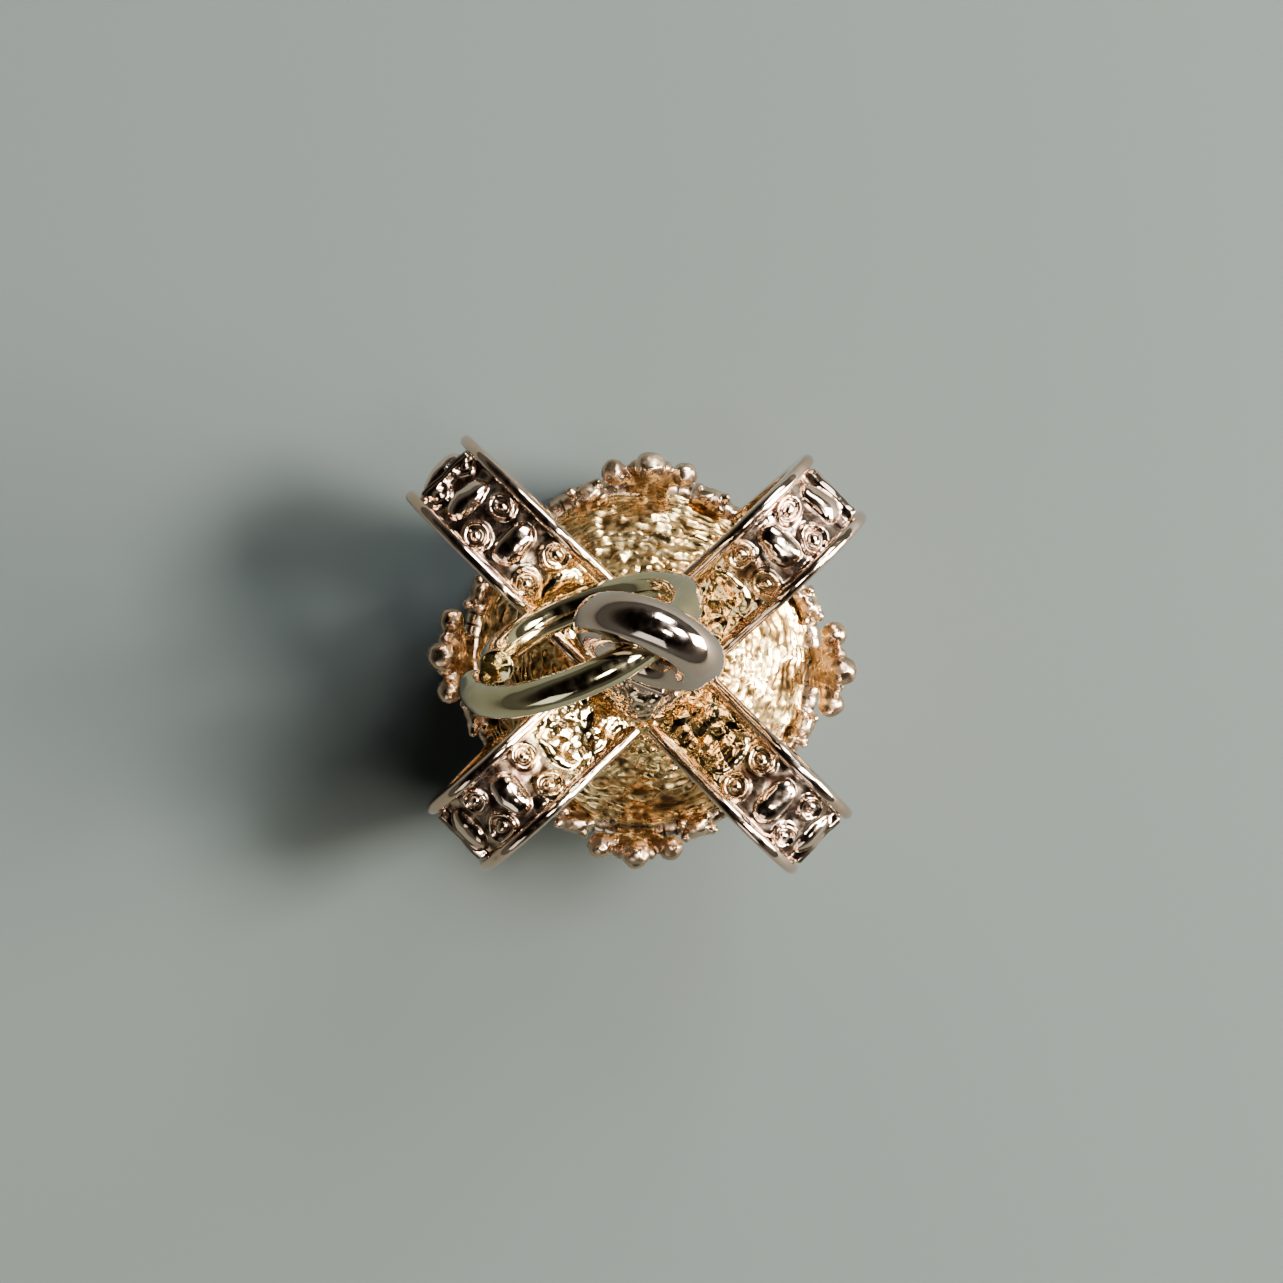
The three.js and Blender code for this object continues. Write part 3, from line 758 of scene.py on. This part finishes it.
cross_low, cross_high = node_box("upper_cross")
cross_half = (cross_high[2] - cross_low[2]) / 2
SOLDER_UNDER_BAIL = ball((0.26, -0.3, cross_half + 0.02), (0.36, 0.34, 0.17))
UPPER_CROSS = cast([
    plate(pattee(0.76, cross_half), 0.44),
    plate(pattee(0.62, cross_half * 0.82), 0.6),
    *[ball((x, 0, 0), (0.16, 0.22, 0.22)) for x in (-0.28, 0.28)],
    SOLDER_UNDER_BAIL,
], rounds=6)
c, s = math.cos(BAIL_TURN), math.sin(BAIL_TURN)
put("upper_cross_casting", UPPER_CROSS, [[-s, c, 0], [c, s, 0], [0, 0, 1]],
    (0, 0, cross_high[2] - cross_half), "upper_cross", ARCH_GOLD, 151)


# ---------------------------------------------------------------- bail ring and jump ring
def wire_loops(centre, across, up, radius, wire, angles, aside, sides=40):
    """Loops of round wire along an arc in the plane of across and up, and each point's way out."""
    across, up = np.array(across), np.array(up)
    axis = np.cross(across, up)
    ray = np.cos(angles)[:, None] * across + np.sin(angles)[:, None] * up
    middle = np.array(centre) + np.reshape(radius, (-1, 1)) * ray + aside[:, None] * axis
    turn = np.linspace(0, 2 * math.pi, sides, endpoint=False)
    spokes = np.cos(turn)[None, :, None] * ray[:, None, :] + np.sin(turn)[None, :, None] * axis
    return middle[:, None, :] + wire[:, None, None] * spokes, spokes


def make_bail():
    angles = np.linspace(0, 2 * math.pi, 220, endpoint=False)
    back = np.array([-math.sin(BAIL_TURN), math.cos(BAIL_TURN), 0])
    across = (math.cos(BAIL_TURN), math.sin(BAIL_TURN), 0)
    up = np.array([0, 0, math.cos(BAIL_LEAN)]) + back * math.sin(BAIL_LEAN)
    centre = BAIL_FOOT + up * (BAIL_RADIUS + BAIL_WIRE_RADIUS)
    wire = BAIL_WIRE_RADIUS * np.ones_like(angles)
    loops, spokes = wire_loops(centre, across, up, BAIL_RADIUS, wire, angles, 0 * angles, 64)
    loops = loops + spokes * layered(loops, 161, (0.012, 0.9, 0), (0.003, 0.3, 1))[..., None]
    piece = skin("bail_ring_wire", loops, np.full(loops.shape[:2], 0.9), close_round=True)
    finish_piece(piece, "bail_ring", "crown", BAIL_GOLD)


JUMP_END_SWELL, JUMP_SWELL_LENGTH = 0.07, 0.12
# The cut face at each end, as loops of points: share of the wire's own radius, and push out along the wire.
CUT_LOOPS = [(0.97, 0.025), (0.9, 0.035), (0.7, 0.03), (0.45, 0.035), (0.2, 0.03), (0.05, 0.03)]
CUT_UNEVENNESS = 0.03


def make_jump_ring():
    gap = JUMP_GAP / JUMP_RADIUS
    t = np.linspace(0, 1, 330)
    angles = JUMP_GAP_AT + gap / 2 + t * (2 * math.pi - gap)
    aside = JUMP_END_OFFSET * (t - 0.5)
    side = np.array([-math.sin(JUMP_TURN), math.cos(JUMP_TURN), 0])
    across = (math.cos(JUMP_TURN), math.sin(JUMP_TURN), 0)
    up = np.array([0, 0, math.cos(JUMP_TILT)]) - side * math.sin(JUMP_TILT)
    from_end = np.minimum(t, 1 - t) * 2 * math.pi * JUMP_RADIUS
    wire = JUMP_WIRE_RADIUS * (1 + JUMP_END_SWELL * np.exp(-((from_end / JUMP_SWELL_LENGTH) ** 2)))
    radius = JUMP_RADIUS - JUMP_BEND * np.maximum(0, 1 - t / JUMP_BEND_SHARE) ** 2
    loops, spokes = wire_loops(JUMP_CENTRE, across, up, radius, wire, angles, aside, 48)
    loops = loops + spokes * layered(loops, 171, (0.01, 0.8, 0), (0.004, 0.25, 1))[..., None]
    ends = []
    for end, inside in ((loops[0], loops[1]), (loops[-1], loops[-2])):
        middle = end.mean(axis=0)
        out = (end - inside).mean(axis=0)
        out /= np.linalg.norm(out)
        face = [middle + (end - middle) * share + out * push for share, push in CUT_LOOPS]
        sawn = [ring + out * (CUT_UNEVENNESS * waves(ring, 0.16, 173))[:, None] for ring in face[1:]]
        ends.append(np.array([face[0], *sawn]))
    whole = np.concatenate([ends[0][::-1], loops, ends[1]], axis=0)
    relief = np.full(whole.shape[:2], 0.9)
    cut = np.zeros(whole.shape[:2])
    sawn_loops = len(CUT_LOOPS) - 1
    cut[:sawn_loops] = 1
    cut[-sawn_loops:] = 1
    relief[cut > 0] = 0.4
    piece = skin("jump_ring_wire", whole, relief, warmth=0.3 * cut)
    finish_piece(piece, "jump_ring", "jump_ring", RING_GOLD)


make_bail()
make_jump_ring()


# ---------------------------------------------------------------- floor, light and camera
FLOOR_RADIUS = 1.2
LAMP_AIM_HEIGHT = 6.0


def make_floor():
    material = bpy.data.materials.new("pale_floor")
    material.use_nodes = True
    shader = material.node_tree.nodes["Principled BSDF"]
    shader.inputs["Base Color"].default_value = (0.03, 0.038, 0.036, 1)
    shader.inputs["Roughness"].default_value = 0.9
    mesh = bpy.data.meshes.new("floor")
    work = bmesh.new()
    bmesh.ops.create_circle(work, cap_ends=True, segments=96, radius=FLOOR_RADIUS)
    work.to_mesh(mesh)
    work.free()
    floor = bpy.data.objects.new("floor", mesh)
    bpy.context.collection.objects.link(floor)
    mesh.materials.append(material)


def soft_lamp(name, azimuth, elevation, distance, size, power, colour):
    """A square lamp facing the crown, its azimuth counted from +X. Degrees, metres and watts."""
    lamp = bpy.data.lights.new(name, "AREA")
    lamp.shape = "SQUARE"
    lamp.size = size
    lamp.energy = power
    lamp.color = colour
    piece = bpy.data.objects.new(name, lamp)
    a, e = math.radians(azimuth), math.radians(elevation)
    aim = Vector((0, 0, LAMP_AIM_HEIGHT * MM))
    ray = Vector((math.cos(a) * math.cos(e), math.sin(a) * math.cos(e), math.sin(e)))
    piece.location = aim + ray * distance
    piece.rotation_euler = ray.to_track_quat("Z", "Y").to_euler()
    bpy.context.collection.objects.link(piece)


def make_world():
    """Pale light near the horizon that gives way to a dark room overhead, where the camera hangs."""
    world = bpy.data.worlds.new("soft_surround")
    world.use_nodes = True
    tree = world.node_tree
    new, link = tree.nodes.new, tree.links.new
    where = new("ShaderNodeTexCoord")
    split = new("ShaderNodeSeparateXYZ")
    link(where.outputs["Generated"], split.inputs["Vector"])
    shade = new("ShaderNodeValToRGB")
    stops = [
        (0.0, (0.2, 0.22, 0.2)),
        (0.28, (0.22, 0.23, 0.21)),
        (0.5, (0.05, 0.042, 0.036)),
        (0.7, (0.005, 0.0035, 0.003)),
    ]
    ramp_stops = shade.color_ramp.elements
    for k, (at, colour) in enumerate(stops):
        stop = ramp_stops[k] if k < 2 else ramp_stops.new(at)
        stop.position = at
        stop.color = (*colour, 1)
    link(split.outputs["Z"], shade.inputs["Fac"])
    back = tree.nodes["Background"]
    link(shade.outputs["Color"], back.inputs["Color"])
    back.inputs["Strength"].default_value = 0.6
    bpy.context.scene.world = world


make_floor()
soft_lamp("key", 13, 50, 0.3, 0.08, 6.0, (1.0, 0.96, 0.9))
soft_lamp("window", 62, 38, 0.35, 0.14, 3.0, (0.95, 0.98, 1.0))
soft_lamp("east", 2, 17, 0.3, 0.15, 6.5, (1.0, 0.92, 0.76))
soft_lamp("overhead", 330, 72, 0.3, 0.05, 0.5, (1.0, 0.95, 0.85))
soft_lamp("fill", 250, 30, 0.4, 0.2, 0.25, (0.95, 1.0, 0.97))
make_world()

CAMERA_HEIGHT = 100.0
CAMERA_OFFSET = (-2.0, 5.03)
CAMERA_ROLL = math.radians(2.2)
CAMERA_LENS = 106.87
AIM_HEIGHT, AIM_UP_FRAME = 3.0, 0.47
camera = bpy.data.objects.new("camera", bpy.data.cameras.new("camera"))
camera.data.sensor_width = 36
camera.data.lens = CAMERA_LENS
camera.data.clip_start = 1 * MM
camera.data.clip_end = 10
eye = Vector((*CAMERA_OFFSET, CAMERA_HEIGHT)) * MM
frame_up = Vector((-math.sin(CAMERA_ROLL), math.cos(CAMERA_ROLL), 0))
aim = Vector((0, 0, AIM_HEIGHT)) * MM + frame_up * (AIM_UP_FRAME * MM)
back = (eye - aim).normalized()
right = frame_up.cross(back).normalized()
up = back.cross(right)
camera.matrix_world = Matrix.Translation(eye) @ Matrix((right, up, back)).transposed().to_4x4()
bpy.context.collection.objects.link(camera)
bpy.context.scene.camera = camera
